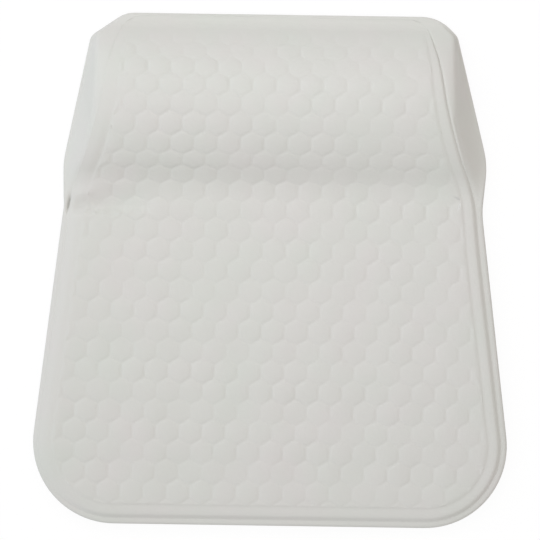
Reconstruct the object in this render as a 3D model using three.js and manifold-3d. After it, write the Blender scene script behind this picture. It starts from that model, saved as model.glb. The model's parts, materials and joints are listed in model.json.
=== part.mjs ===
// Bath pillow: a padded mat with a half-round headrest, lying on a grid of suction cups.
// Units are millimetres, +Z is up, +Y points from the foot edge of the mat to the back of the headrest.
// The origin is under the middle of the outline, at the level of the cups' lips.
import * as THREE from 'three';
import { mergeVertices } from 'three/addons/utils/BufferGeometryUtils.js';
import Module from 'manifold-3d';

const wasm = await Module();
wasm.setup();

// Plan of the outline, seen from above
const MAT_LENGTH = 227; // foot edge to crease
const HEADREST_DEPTH = 129; // crease to back edge
const FOOT_WIDTH = 344.8; // where the side lines meet the foot edge, before its corners are rounded
const FOOT_CORNER_RADIUS = 59;
const CREASE_WIDTH = 292;
const BULGE_SWELL = 2; // how far each side of the headrest leans out beyond the crease
const BULGE_OFFSET = 20; // place of the widest line behind the crease
const BULGE_RADIUS = 45;
const BACK_WIDTH = 247.6; // where the side lines meet the back edge, before its corners are rounded
const BACK_CORNER_RADIUS = 24;

// Layers, from the bottom up
const CUP_HEIGHT = 7;
const BASE_THICKNESS = 2;
const PAD_THICKNESS = 4;
const SHEET_THICKNESS = 1.5; // face sheets and gussets
const LAYER_GAP = 0.3; // clearance between pieces that lie on each other
const CORE_EDGE = 1; // upright edge at the foot of the headrest's foam

// Border of the face
const FLANGE_WIDTH = 5; // rim of the base sheet that shows outside the step of the mat
const BACK_FLANGE_WIDTH = 7; // the same behind the headrest
const RIM_DROP = 2.5; // rim below the face of the mat
const RIM_SEAT = 2; // rim under a sheet that stands on it, beyond that sheet's inside
const GUSSET_SETBACK = 0.4; // foot of the gussets inside the outline
const BORDER_WIDTH = 8; // smooth band inside the step
const EDGE_ROUND = 1;
const LINE_WIDTH = 1.2; // engraved line inside the band
const LINE_DEPTH = 0.6;

// Headrest form
const CREST_RISE = 26; // crest above the face of the mat
const CREST_OFFSET = 73; // crest behind the crease
const CREASE_RADIUS = 30; // hollow round between the mat and the front slope
const CREST_EASE_BACK = 30; // length over which the crest turns into the back
const BACK_FOOT_EASE = new THREE.Vector2(8, 19); // pull of the back's foot on its slope, back and up
const SIDE_DROP = 1.5; // fall of the crown from the middle of the headrest to its step line
const STEP_DROP = 1; // gusset below the face sheet at the step line
const SHOULDER_DROP = 2.5; // shoulder of the gusset below its upper edge
const SHOULDER_SHARE_FRONT = 0.1; // place of the shoulder between step line and foot, at the crease
const SHOULDER_SHARE_BACK = 0.5; // the same at the back edge
const SHOULDER_ROUND_ABOVE = 0.4; // share of the top that the shoulder's round takes
const SHOULDER_ROUND_BELOW = 0.18; // share of the wall that it takes
const STEP_LINE_START = 0.55; // share of the front slope where the step line reaches its inset
const STEP_LINE_END = 0.5; // share of the back slope where it leaves it again
const GUSSET_INSET = 20; // step line inside the outline, along the raised part of the headrest

// Suction cups
const CUP_PITCH = 42; // from row to row
const CUP_SIDE_MARGIN = 41; // outer columns inside the outline, at the crease
const CUP_COLUMNS = 6;
const MAT_CUP_ROWS = 5;
const HEADREST_CUP_ROWS = 3;
const LIP_RADIUS = 13;
const LIP_LAND = 1.4; // flat ring of the lip
const LIP_THICKNESS = 0.9;
const CUP_DOME = 2.8; // depth of the hollow
const NECK_RADIUS = 5;
const NECK_LENGTH = 1.6;
const PLUG_RADIUS = 3.5;
const PLUG_CLEARANCE = 0.3; // radial, in the hole of the base sheet

const FOLD_GAP = 0.6; // between mat and headrest at the crease

// Fineness of the round stretches
const ARC_STEPS = 8;
const CUP_SIDES = 12;
const FRONT_STEPS = 10;
const BACK_STEPS = 9;
const CROWN_COLUMNS = 8;
const STEP_LINE_SAMPLES = 80;

// Levels and places worked out from the sizes above
const footY = -(MAT_LENGTH + HEADREST_DEPTH) / 2;
const creaseY = footY + MAT_LENGTH;
const backY = creaseY + HEADREST_DEPTH;
const baseBottom = CUP_HEIGHT;
const baseTop = baseBottom + BASE_THICKNESS;
const padBottom = baseTop + LAYER_GAP;
const padTop = padBottom + PAD_THICKNESS;
const faceBottom = padTop + LAYER_GAP;
const faceTop = faceBottom + SHEET_THICKNESS;
const rimTop = faceTop - RIM_DROP;
const footLevel = rimTop + LAYER_GAP; // of the sheets that stand on the rim of the headrest
const matEndY = creaseY - FOLD_GAP / 2;
const headrestStartY = creaseY + FOLD_GAP / 2;
const bulgeHalf = CREASE_WIDTH / 2 + BULGE_SWELL;

const ivoryVinyl = { color: 0xd6d7d1, roughness: 0.55, metalness: 0 };
const backingVinyl = { color: 0xcfd0ca, roughness: 0.6, metalness: 0 };
const whiteFoam = { color: 0xece9df, roughness: 0.95, metalness: 0 };
const cupRubber = { color: 0xdfe1dd, roughness: 0.35, metalness: 0 };

const pillow = new THREE.Group();

function addPiece(name, geometry, finish) {
  const mesh = new THREE.Mesh(geometry, new THREE.MeshStandardMaterial(finish));
  mesh.name = name;
  pillow.add(mesh);
}

// Polygon with rounded corners, each edge moved inwards by its own inset.
// A corner is { x, y, radius }, and edge i runs from corner i to the next one, counter-clockwise.
function roundedOutline(corners, insets) {
  const count = corners.length;
  const edges = corners.map((corner, i) => {
    const next = corners[(i + 1) % count];
    const along = new THREE.Vector2(next.x - corner.x, next.y - corner.y).normalize();
    const inward = new THREE.Vector2(-along.y, along.x);
    const start = new THREE.Vector2(corner.x, corner.y).addScaledVector(inward, insets[i]);
    return { start, along };
  });
  const points = [];
  corners.forEach((corner, i) => {
    const before = edges[(i + count - 1) % count];
    const after = edges[i];
    const turn = before.along.cross(after.along);
    const reach = after.start.clone().sub(before.start).cross(after.along) / turn;
    const tip = before.start.clone().addScaledVector(before.along, reach);
    if (corner.radius === 0) {
      points.push(tip);
      return;
    }
    const inset = Math.max(insets[(i + count - 1) % count], insets[i]);
    const radius = Math.max(corner.radius - inset, EDGE_ROUND);
    const angle = Math.atan2(turn, before.along.dot(after.along));
    const tangent = radius * Math.tan(angle / 2);
    const first = tip.clone().addScaledVector(before.along, -tangent);
    const inward = new THREE.Vector2(-before.along.y, before.along.x);
    const centre = first.clone().addScaledVector(inward, radius);
    for (let step = 0; step <= ARC_STEPS; step += 1) {
      points.push(first.clone().rotateAround(centre, (angle * step) / ARC_STEPS));
    }
  });
  return points;
}

function matOutline(inset, endY) {
  const sideSlope = (FOOT_WIDTH - CREASE_WIDTH) / 2 / MAT_LENGTH;
  const endHalf = CREASE_WIDTH / 2 - sideSlope * (endY - creaseY);
  const corners = [
    { x: endHalf, y: endY, radius: 0 },
    { x: -endHalf, y: endY, radius: 0 },
    { x: -FOOT_WIDTH / 2, y: footY, radius: FOOT_CORNER_RADIUS },
    { x: FOOT_WIDTH / 2, y: footY, radius: FOOT_CORNER_RADIUS },
  ];
  return roundedOutline(corners, [0, inset, inset, inset]);
}

function headrestOutline(inset, backInset, startY) {
  const startHalf = CREASE_WIDTH / 2 + (BULGE_SWELL / BULGE_OFFSET) * (startY - headrestStartY);
  const corners = [
    { x: -startHalf, y: startY, radius: 0 },
    { x: startHalf, y: startY, radius: 0 },
    { x: bulgeHalf, y: headrestStartY + BULGE_OFFSET, radius: BULGE_RADIUS },
    { x: BACK_WIDTH / 2, y: backY, radius: BACK_CORNER_RADIUS },
    { x: -BACK_WIDTH / 2, y: backY, radius: BACK_CORNER_RADIUS },
    { x: -bulgeHalf, y: headrestStartY + BULGE_OFFSET, radius: BULGE_RADIUS },
  ];
  return roundedOutline(corners, [0, inset, inset, backInset, inset, inset]);
}

function slab(outline, bottom, thickness, holeCentres) {
  const shape = new THREE.Shape(outline);
  holeCentres.forEach((centre) => {
    const hole = new THREE.Path();
    hole.absarc(centre.x, centre.y, PLUG_RADIUS + PLUG_CLEARANCE, 0, 2 * Math.PI, true);
    shape.holes.push(hole);
  });
  const options = { depth: thickness, bevelEnabled: false, curveSegments: CUP_SIDES / 2 };
  return new THREE.ExtrudeGeometry(shape, options).translate(0, 0, bottom);
}

function geometryFrom(vertices, triangles) {
  const geometry = new THREE.BufferGeometry();
  geometry.setAttribute('position', new THREE.Float32BufferAttribute(vertices, 3));
  geometry.setIndex(triangles);
  return geometry;
}

// Closed body through rings of equal point count, with a flat cap on the first and the last ring
function bodyThroughRings(rings) {
  const count = rings[0].points.length;
  const vertices = rings.flatMap((ring) => ring.points.flatMap((point) => [point.x, point.y, ring.z]));
  const triangles = [];
  for (let ring = 0; ring + 1 < rings.length; ring += 1) {
    for (let i = 0; i < count; i += 1) {
      const low = ring * count + i;
      const lowNext = ring * count + ((i + 1) % count);
      triangles.push(low, lowNext, lowNext + count, low, lowNext + count, low + count);
    }
  }
  const last = (rings.length - 1) * count;
  THREE.ShapeUtils.triangulateShape(rings[0].points, []).forEach(([a, b, c]) => triangles.push(a, c, b));
  THREE.ShapeUtils.triangulateShape(rings.at(-1).points, []).forEach(([a, b, c]) => {
    triangles.push(last + a, last + b, last + c);
  });
  return geometryFrom(vertices, triangles);
}

// Closed body between an upper and a lower grid of points, rows running back and columns running to +X
function bodyBetweenGrids(upper, lower) {
  const rows = upper.length;
  const columns = upper[0].length;
  const vertices = [...upper.flat(), ...lower.flat()].flatMap((point) => [point.x, point.y, point.z]);
  const top = (row, column) => row * columns + column;
  const bottom = (row, column) => rows * columns + row * columns + column;
  const triangles = [];
  const quad = (a, b, c, d) => triangles.push(a, b, c, a, c, d);
  for (let row = 0; row + 1 < rows; row += 1) {
    const back = row + 1;
    for (let column = 0; column + 1 < columns; column += 1) {
      const right = column + 1;
      quad(top(row, column), top(row, right), top(back, right), top(back, column));
      quad(bottom(row, column), bottom(back, column), bottom(back, right), bottom(row, right));
    }
    quad(bottom(row, 0), top(row, 0), top(back, 0), bottom(back, 0));
    const end = columns - 1;
    quad(top(row, end), bottom(row, end), bottom(back, end), top(back, end));
  }
  for (let column = 0; column + 1 < columns; column += 1) {
    quad(bottom(0, column), bottom(0, column + 1), top(0, column + 1), top(0, column));
    const end = rows - 1;
    quad(top(end, column), top(end, column + 1), bottom(end, column + 1), bottom(end, column));
  }
  return geometryFrom(vertices, triangles);
}

function manifoldOf(geometry) {
  const bare = geometry.clone();
  bare.deleteAttribute('normal');
  bare.deleteAttribute('uv');
  const merged = mergeVertices(bare);
  const vertProperties = new Float32Array(merged.attributes.position.array);
  const triVerts = new Uint32Array(merged.index.array);
  return new wasm.Manifold(new wasm.Mesh({ numProp: 3, vertProperties, triVerts }));
}

function cutAway(geometry, cutter) {
  const { vertProperties, triVerts } = manifoldOf(geometry).subtract(manifoldOf(cutter)).getMesh();
  return geometryFrom([...vertProperties], [...triVerts]);
}

// Places of the suction cups: the rows start half a pitch from the crease on both sides
function cupPlaces(rowCount, firstY, rowStep) {
  const reach = CREASE_WIDTH / 2 - CUP_SIDE_MARGIN;
  const places = [];
  for (let row = 0; row < rowCount; row += 1) {
    for (let column = 0; column < CUP_COLUMNS; column += 1) {
      const x = reach * ((2 * column) / (CUP_COLUMNS - 1) - 1);
      places.push({ x, y: firstY + row * rowStep, label: `${row + 1}_${column + 1}` });
    }
  }
  return places;
}

const matCups = cupPlaces(MAT_CUP_ROWS, creaseY - CUP_PITCH / 2, -CUP_PITCH);
const headrestCups = cupPlaces(HEADREST_CUP_ROWS, creaseY + CUP_PITCH / 2, CUP_PITCH);

// Base sheet: a tray with holes for the cups' plugs, and a rim that is open at the crease.
// The well is the outline of its inside and runs out beyond the crease.
function baseTray(outline, well, holeCentres) {
  const block = slab(outline, baseBottom, rimTop - baseBottom, holeCentres);
  return cutAway(block, slab(well, baseTop, rimTop, []));
}

// Mat: base sheet, foam pad and a face sheet whose edge turns down inside the rim
const matOverrun = creaseY + MAT_LENGTH / 10;
const matWell = matOutline(FLANGE_WIDTH - LAYER_GAP, matOverrun);
addPiece('mat_base_sheet', baseTray(matOutline(0, matEndY), matWell, matCups), backingVinyl);

const padInset = FLANGE_WIDTH + SHEET_THICKNESS + LAYER_GAP;
addPiece('mat_foam_pad', slab(matOutline(padInset, matEndY), padBottom, PAD_THICKNESS, []), whiteFoam);

function matFaceSheet() {
  const ring = (inset, z) => ({ points: matOutline(inset, matOverrun), z });
  const lineInset = FLANGE_WIDTH + BORDER_WIDTH;
  const crown = bodyThroughRings([
    ring(FLANGE_WIDTH, padBottom),
    ring(FLANGE_WIDTH, faceTop - EDGE_ROUND),
    ring(FLANGE_WIDTH + EDGE_ROUND, faceTop),
    ring(lineInset, faceTop),
    ring(lineInset + LINE_WIDTH / 2, faceTop - LINE_DEPTH),
    ring(lineInset + LINE_WIDTH, faceTop),
  ]);
  const hollowOutline = matOutline(FLANGE_WIDTH + SHEET_THICKNESS, matOverrun);
  const hollow = slab(hollowOutline, baseBottom, faceBottom - baseBottom, []);
  const beyond = new THREE.BoxGeometry(2 * FOOT_WIDTH, MAT_LENGTH, 2 * faceTop);
  beyond.translate(0, matEndY + MAT_LENGTH / 2, faceTop);
  return cutAway(cutAway(crown, hollow), beyond);
}
addPiece('mat_face_sheet', matFaceSheet(), ivoryVinyl);

// Headrest: its lengthwise profile runs from the crease over the crest to the foot of its back.
// The front is two arcs that meet on the slope: a hollow one at the crease and a round one at the crest.
const crestY = creaseY + CREST_OFFSET;
const crestTop = faceTop + CREST_RISE;
const backFootY = backY - BACK_FLANGE_WIDTH;
const frontRun = crestY - headrestStartY;
const frontSlope = 2 * Math.atan(CREST_RISE / frontRun);
const crestRadius = frontRun / Math.sin(frontSlope) - CREASE_RADIUS;
const up = Math.PI / 2;
const creaseArc = new THREE.EllipseCurve(
  headrestStartY, faceTop + CREASE_RADIUS, CREASE_RADIUS, CREASE_RADIUS, -up, -up + frontSlope, false,
);
const crestArc = new THREE.EllipseCurve(
  crestY, crestTop - crestRadius, crestRadius, crestRadius, up + frontSlope, up, true,
);
const frontProfile = new THREE.CurvePath();
frontProfile.add(creaseArc);
frontProfile.add(crestArc);
const backProfile = new THREE.CubicBezierCurve(
  new THREE.Vector2(crestY, crestTop),
  new THREE.Vector2(crestY + CREST_EASE_BACK, crestTop),
  new THREE.Vector2(backFootY - BACK_FOOT_EASE.x, footLevel + BACK_FOOT_EASE.y),
  new THREE.Vector2(backFootY, footLevel),
);

// Half width of the outline beside the headrest, on the straight line from the bulge to the back edge
function sideHalfWidth(y) {
  return THREE.MathUtils.mapLinear(y, headrestStartY + BULGE_OFFSET, backY, bulgeHalf, BACK_WIDTH / 2);
}

// Half width of the face sheet along the headrest, from the border of the mat in to the raised step line
const slopeY = frontProfile.getPoint(STEP_LINE_START).x;
const browY = backProfile.getPoint(STEP_LINE_END).x;
const stepLine = new THREE.SplineCurve([
  new THREE.Vector2(headrestStartY, CREASE_WIDTH / 2 - FLANGE_WIDTH),
  ...[slopeY, crestY, browY].map((y) => new THREE.Vector2(y, sideHalfWidth(y) - GUSSET_INSET)),
  new THREE.Vector2(backFootY, BACK_WIDTH / 2 - BACK_CORNER_RADIUS),
]);
const stepLinePoints = stepLine.getPoints(STEP_LINE_SAMPLES);

// Value at a place on a line of points that are sorted by place, as { x: place, y: value }
function valueAlong(points, place) {
  const next = points.findIndex((point) => point.x >= place);
  const index = next < 0 ? points.length - 1 : Math.max(1, next);
  const from = points[index - 1];
  const to = points[index];
  return THREE.MathUtils.mapLinear(place, from.x, to.x, from.y, to.y);
}

// Stations along the profile: place, outward normal in the YZ plane, and share of the full rise
function profileStations() {
  const list = [];
  const add = (curve, t) => {
    const point = curve.getPoint(t);
    const tangent = curve.getTangent(t);
    const rise = THREE.MathUtils.clamp((point.y - faceTop) / CREST_RISE, 0, 1);
    list.push({ y: point.x, z: point.y, normalY: -tangent.y, normalZ: tangent.x, rise });
  };
  for (let i = 0; i < FRONT_STEPS; i += 1) add(frontProfile, i / FRONT_STEPS);
  for (let i = 0; i <= BACK_STEPS; i += 1) add(backProfile, i / BACK_STEPS);
  return list;
}
const stations = profileStations();

// Point of the crown at a share across the face sheet, sunk below the outer surface by a depth
function crownPoint(station, across, depth) {
  const halfWidth = valueAlong(stepLinePoints, station.y);
  const drop = SIDE_DROP * station.rise * across ** 4;
  const z = station.z - drop - depth * station.normalZ;
  return new THREE.Vector3(across * halfWidth, station.y - depth * station.normalY, Math.max(z, footLevel));
}

const crownShares = Array.from({ length: CROWN_COLUMNS + 1 }, (_, i) => (2 * i) / CROWN_COLUMNS - 1);
const crownRow = (station, depth) => crownShares.map((share) => crownPoint(station, share, depth));

// Right half of the headrest's outline, as { x: place, y: half width } from the crease to the back edge
function rightSide(inset, backInset) {
  const rightHalf = headrestOutline(inset, backInset, headrestStartY).slice(1, 2 + 2 * (ARC_STEPS + 1));
  return rightHalf.map((point) => new THREE.Vector2(point.y, point.x));
}

// Foot of the right gusset on the rim of the base sheet
const gussetFoot = (depth) => rightSide(GUSSET_SETBACK + depth, BACK_FLANGE_WIDTH + depth);

// Widths of the rim of the headrest's base sheet, beside the headrest and behind it
const sideRim = GUSSET_SETBACK + SHEET_THICKNESS + RIM_SEAT;
const backRim = BACK_FLANGE_WIDTH + SHEET_THICKNESS + RIM_SEAT;

// Points of the right side from the step line over the shoulder and down to the foot, sunk by a depth
function gussetRow(station, depth, foot) {
  const upper = crownPoint(station, 1, depth + STEP_DROP * station.rise);
  upper.x += LAYER_GAP;
  const share = (station.y - headrestStartY) / (backFootY - headrestStartY);
  const groundY = THREE.MathUtils.lerp(headrestStartY, foot.at(-1).x, share);
  const ground = new THREE.Vector3(valueAlong(foot, groundY), groundY, footLevel);
  const shoulderShare = THREE.MathUtils.lerp(SHOULDER_SHARE_FRONT, SHOULDER_SHARE_BACK, share);
  const shoulder = upper.clone().lerp(ground, shoulderShare);
  shoulder.z = Math.max(upper.z - SHOULDER_DROP * station.rise, footLevel);
  const before = upper.clone().lerp(shoulder, 1 - SHOULDER_ROUND_ABOVE);
  const after = shoulder.clone().lerp(ground, SHOULDER_ROUND_BELOW);
  const middle = before.clone().add(after).multiplyScalar(0.25).addScaledVector(shoulder, 0.5);
  return [upper, before, middle, after, after.clone().lerp(ground, 0.5), ground];
}

const mirrored = (points) => points.map((point) => new THREE.Vector3(-point.x, point.y, point.z)).reverse();

function headrestFaceSheet() {
  const upper = stations.map((station) => crownRow(station, 0));
  const lower = stations.map((station) => crownRow(station, SHEET_THICKNESS));
  return bodyBetweenGrids(upper, lower);
}

function gusset(side) {
  const outerFoot = gussetFoot(0);
  const innerFoot = gussetFoot(SHEET_THICKNESS);
  const placed = (row) => (side > 0 ? row : mirrored(row));
  const upper = stations.map((station) => placed(gussetRow(station, 0, outerFoot)));
  const lower = stations.map((station) => placed(gussetRow(station, SHEET_THICKNESS, innerFoot)));
  return bodyBetweenGrids(upper, lower);
}

function headrestFoamCore() {
  const depth = SHEET_THICKNESS + LAYER_GAP;
  const foot = rightSide(sideRim + LAYER_GAP, backRim + LAYER_GAP);
  const upper = stations.slice(0, -1).map((station) => {
    const side = gussetRow(station, depth, foot);
    side.at(-1).z = padBottom + CORE_EDGE;
    return [...mirrored(side), ...crownRow(station, depth).slice(1, -1), ...side];
  });
  const lower = upper.map((row) => row.map((point) => new THREE.Vector3(point.x, point.y, padBottom)));
  return bodyBetweenGrids(upper, lower);
}

const headrestWell = headrestOutline(sideRim, backRim, headrestStartY - BULGE_OFFSET);
const headrestBase = baseTray(headrestOutline(0, 0, headrestStartY), headrestWell, headrestCups);
addPiece('headrest_base_sheet', headrestBase, backingVinyl);
addPiece('headrest_foam_core', headrestFoamCore(), whiteFoam);
addPiece('headrest_face_sheet', headrestFaceSheet(), ivoryVinyl);
addPiece('left_gusset', gusset(-1), ivoryVinyl);
addPiece('right_gusset', gusset(1), ivoryVinyl);

// Suction cup: hollow lip, neck against the base sheet, and a plug in its hole
function suctionCup() {
  const neckTop = baseBottom - LAYER_GAP;
  const profile = [
    [0, CUP_DOME],
    [LIP_RADIUS - LIP_LAND, 0],
    [LIP_RADIUS, 0],
    [LIP_RADIUS, LIP_THICKNESS],
    [NECK_RADIUS, neckTop - NECK_LENGTH],
    [NECK_RADIUS, neckTop],
    [PLUG_RADIUS, neckTop],
    [PLUG_RADIUS, baseTop],
    [0, baseTop],
  ];
  const outline = profile.map(([radius, height]) => new THREE.Vector2(radius, height));
  return new THREE.LatheGeometry(outline, CUP_SIDES).rotateX(Math.PI / 2);
}

const cup = suctionCup();
matCups.forEach(({ x, y, label }) => addPiece(`mat_cup_${label}`, cup.clone().translate(x, y, 0), cupRubber));
headrestCups.forEach(({ x, y, label }) => {
  addPiece(`headrest_cup_${label}`, cup.clone().translate(x, y, 0), cupRubber);
});

export default pillow;
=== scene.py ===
import json
import math
from collections import namedtuple

import bmesh
import bpy
import numpy as np
from mathutils import Matrix, Vector


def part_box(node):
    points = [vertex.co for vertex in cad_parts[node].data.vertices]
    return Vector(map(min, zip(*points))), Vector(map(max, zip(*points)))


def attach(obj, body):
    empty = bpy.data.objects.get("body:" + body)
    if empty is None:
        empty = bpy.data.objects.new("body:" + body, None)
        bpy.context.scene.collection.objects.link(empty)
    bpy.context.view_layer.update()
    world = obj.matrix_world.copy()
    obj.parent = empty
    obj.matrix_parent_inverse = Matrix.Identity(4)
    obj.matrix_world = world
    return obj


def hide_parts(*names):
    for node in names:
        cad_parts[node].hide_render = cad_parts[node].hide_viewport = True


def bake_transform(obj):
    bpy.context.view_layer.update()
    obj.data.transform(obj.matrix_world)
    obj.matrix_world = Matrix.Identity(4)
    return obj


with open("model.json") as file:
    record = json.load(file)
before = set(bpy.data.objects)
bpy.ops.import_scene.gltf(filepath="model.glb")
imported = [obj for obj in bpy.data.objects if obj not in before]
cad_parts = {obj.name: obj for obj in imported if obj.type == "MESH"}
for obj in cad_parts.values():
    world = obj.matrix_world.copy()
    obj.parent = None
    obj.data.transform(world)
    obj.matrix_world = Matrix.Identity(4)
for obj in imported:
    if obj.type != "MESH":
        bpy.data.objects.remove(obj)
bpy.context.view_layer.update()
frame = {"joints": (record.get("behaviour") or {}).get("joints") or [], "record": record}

# Bath pillow: a padded mat and a half-round headrest under one embossed face of soft vinyl.
# Sizes are millimetres; a mesh is turned to metres when it is made.
MM = 0.001


def box_mm(node):
    """Lowest and highest corner of a node of the frame."""
    low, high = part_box(node)
    return [c / MM for c in low], [c / MM for c in high]


# Levels and places taken from the frame
mat_low, mat_high = box_mm("mat_base_sheet")
FOOT_Y = mat_low[1]
BASE_BOTTOM = mat_low[2]
RIM_TOP = mat_high[2]
BACK_Y = box_mm("headrest_base_sheet")[1][1]
FACE_TOP = box_mm("mat_face_sheet")[1][2]
CREST_TOP = box_mm("headrest_face_sheet")[1][2]
BACK_FOOT_Y = box_mm("headrest_face_sheet")[1][1]
FOAM_BOTTOM = box_mm("mat_foam_pad")[0][2]
BASE_TOP = box_mm("mat_cup_1_1")[1][2]  # the plugs of the cups end level with the backing sheet
CREASE_Y = frame["joints"][0]["pos_m"][1] / MM
CREASE_ALONG = CREASE_Y - FOOT_Y  # length along the face at the crease
RIM_DROP = FACE_TOP - RIM_TOP

# Outline seen from above: the soft edge lies a little differently on the right and on the left
Side = namedtuple(
    "Side", "foot_half foot_radius waist_half bulge_half bulge_offset back_half kink_y cut_reach back_radius",
)
RIGHT = Side(172.8, 57, 145.6, 148.8, 27, 123.4, 164.5, 1.0, 28)
LEFT = Side(171.9, 57, 146.0, 146.6, 25, 125.5, 161.5, 1.45, 18)
WAIST_OFFSET = -7  # from the crease
WAIST_RADIUS = 60
BULGE_RADIUS = 60
KINK_RADIUS = 8  # where the side ends and the corner is cut off

# Pattern of the face sheet laid out flat: at lengths along it, half widths up to the step at its edge, and
# widths of the smooth band inside that step
STEP_FOOT = 5.1  # from the foot edge
SIDE_ALONG = (STEP_FOOT, 105, 205, 227, 262, 296, 331, 369)
SIDE_HALF = (167.3, 154.65, 142, 139.6, 128.8, 119.7, 113.3, 104.5)
RIGHT_BAND = (9.1, 9.1, 9.1, 8.8, 9.3, 8.8, 6.9, 3.0)
LEFT_BAND = (9.1, 9.1, 9.1, 10.0, 11.8, 10.4, 6.6, 3.0)
BAND_WIDTH = 9.1
BACK_BAND_SHARE = 0.33  # of the band's width, left of it along the back edge
STEP_FOOT_RADIUS = 51.5
STEP_BACK_RADIUS = 14
STEP_LEAST_RADIUS = 2
STEP_BACK_RUN = 20  # length of the side that gives its direction at the back corner

# Fineness of the face's edge and of the skin beside it, from the middle of the foot to the middle of the back
MIDDLE_STEPS = 16
FOOT_STEPS = 24
SIDE_STEPS = 120
SIDE_SAMPLES = 90
BACK_STEPS = 8
WAIST_STEPS = 6
BULGE_STEPS = 8
KINK_STEPS = 6
CUT_STEPS = 12

# Lengthwise profile of the headrest
CREST_OFFSET = 73  # from the crease
CREASE_RADIUS = 30
CREST_EASE_BACK = 24  # how gently the crest turns down to the back
BACK_FOOT_EASE = (12, 16)  # run and rise of the back where it ends
BACK_FOOT_SETBACK = 1.5
BACK_FOOT_RADIUS = 9  # hollow round where the back runs out on the flange
BACK_FOOT_STEPS = 10
BACK_ROUND_GAP = 0.3  # between the end of the slope and that round
BACK_EDGE = 2.6  # bare flange left behind the face
BACK_STEP = 0.12  # height of the face's edge over that flange
SIDE_DROP = 1.5  # by which the crest is lower at its sides
FLAT_END = 2  # before the crease: last station of the level mat
RUN_OUT = 4  # the profile goes on this far behind the face
PROFILE_STEPS = 40

# Embossed hexagon pads
HEX_PITCH = 16.15
HEX_SIDE = HEX_PITCH / math.sqrt(3)
HEX_ROW = 1.5 * HEX_SIDE
HEX_FIRST_Y = -1.3  # middle of one row of pads
HEX_FIRST_X = 9.3  # middle of one pad in that row
PATTERN_ALONG = (0, 184, 226, 240, 268, 310, 352, 380)  # the rows lie closer where the sheet is drawn in
SHEET_ALONG = (0, 184.7, 227, 239.4, 263.2, 305.2, 343, 370)
CORNER_SHARE = 0.22  # of a pad's side, taken by the round of its corner
CORNER_PULL = 0.06  # by which the corners of its rings are drawn in
CUT_SHARES = (0.25, 0.5, 0.75)  # points along the cut side of a pad at the field's edge
CUT_HALVINGS = 24  # to find where that edge cuts the pad
PAD_LEVEL = 0.4  # height of a pad's edge over the profile of the face
GROOVE_DEPTH = 0.41
PAD_RINGS = ((0.9, 0.62), (2.2, 1.0))  # inset and share of the groove's depth of the rings of a pad
PAD_CROWN = 1.12  # the same share in a pad's middle
PAD_LEAST = 3  # a piece of a hexagon that is smaller than this stands less high
SAME_POINT = 0.02  # points nearer than this are one

# Depth of the grooves at lengths along: the sheet is pulled flatter in places, lies flatter on the right than
# on the left, and is pressed unevenly, in two crossed waves
RELIEF_ALONG = (0, 100, 170, 200, 225, 245, 265, 305, 330, 345, 372)
RELIEF_SHARE = (0.84, 0.97, 0.79, 0.88, 0.95, 1.05, 1.04, 0.94, 0.85, 0.66, 0.5)
RELIEF_LEAN = (0.05, 0.3)  # share lost at the reach to the right, on the mat and on the headrest
RELIEF_LEAN_REACH = 100
RELIEF_LEAN_FADE = 30  # behind the crease
RELIEF_WAVES = ((0.3, (13, 9, 17, 23)), (0.55, (4.1, 5.3, 3.7, 6.1)))  # height and lengths of the waves

# Border of the face: down from the field to the band, and from the band over a round ramp to the flange
FIELD_EDGE = 0.02  # height of the field's edge over the profile of the face
LOOP_STEP = 4  # longest straight piece of the field's edge
LOOP_CUTS = 3  # of a longer piece
LEFT_FACING = (0.2, 0.7)  # how far an edge faces left where it begins to count as left, and wholly does
# Inset from the step, and heights: at the foot and on the right of the mat, on the right of the headrest, and
# on the left of the mat, of the headrest's front and of its back, where the border slopes off gently
BORDER_RINGS = (
    (8.5, -0.22, -0.12, -0.1, -0.36, 0.0), (7.9, -0.31, -0.19, -0.2, -0.52, -0.02),
    (6.8, -0.3, -0.2, -0.28, -0.36, -0.06), (4.8, -0.26, -0.24, -0.62, 0.04, -0.14),
    (2.8, -0.3, -0.3, -1.18, -0.1, -0.22), (1.9, -0.46, -0.42, -1.5, -0.24, -0.26),
    (1.2, -0.92, -0.84, -1.76, -0.38, -0.3), (0.5, -1.58, -1.5, -2.02, -0.52, -0.34),
    (-0.1, -2.15, -2.1, -2.22, -0.66, -0.38), (-0.6, -2.44, -2.44, -2.38, -0.78, -0.42),
    (-1.1, -2.54, -2.54, -2.52, -0.92, -0.48), (-1.4, -3.3, -3.3, -3.3, -2.0, -1.6),
)
SKIRT = 1.5  # how far the edge of the face dips under the skin where there is no step
COVER_THICKNESS = 1.1

# Flange and gussets
STEP_DROP = 1.5
LEFT_DROPS = (0.84, 0.4)  # on the front and on the back of the headrest
LEFT_TILT = 1.2  # by which the flange on the left slopes down to its edge
# Where the border of the mat ends, and where that of the headrest's front and of its back begin and end
RIGHT_PARTS = (CREASE_ALONG, CREASE_ALONG + 32, CREASE_ALONG + 58, CREASE_ALONG + 88)
LEFT_PARTS = (CREASE_ALONG + 8, CREASE_ALONG + 28, CREASE_ALONG + 40, CREASE_ALONG + 78)
STEP_FADE = (30, 8)  # the step begins to fade, and has faded, before the back edge
SKIN_THICKNESS = 0.8
SKIN_TUCK = 2  # how far the skin goes on under the face, and down
SKIN_START = 0.3  # from the step, where it comes out from under the face
SKIN_TOP = 1.7  # from the step, where it begins to fall
SKIN_TOP_SHARE = 0.2  # of a narrow skin, the most that this takes
SKIN_TOP_FALL = 0.005  # of the wall's height, lost up to there
WALL_END = 2.2  # from the outline, where the wall meets the rounded edge
WALL_END_SHARE = 0.6  # of a narrow skin, the least that lies before it
WALL_RINGS = ((0.25, -0.04), (0.5, -0.05), (0.75, -0.03))  # share of the wall, and how much it bellies out
SHOULDER_Y = (80, 110, 128, 157)
SHOULDER_HALF = (126.5, 125, 124.1, 122.8)  # half width at which the gussets turn down
SHOULDER_FRONT = 10  # from the crease, where the shoulder begins
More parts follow.
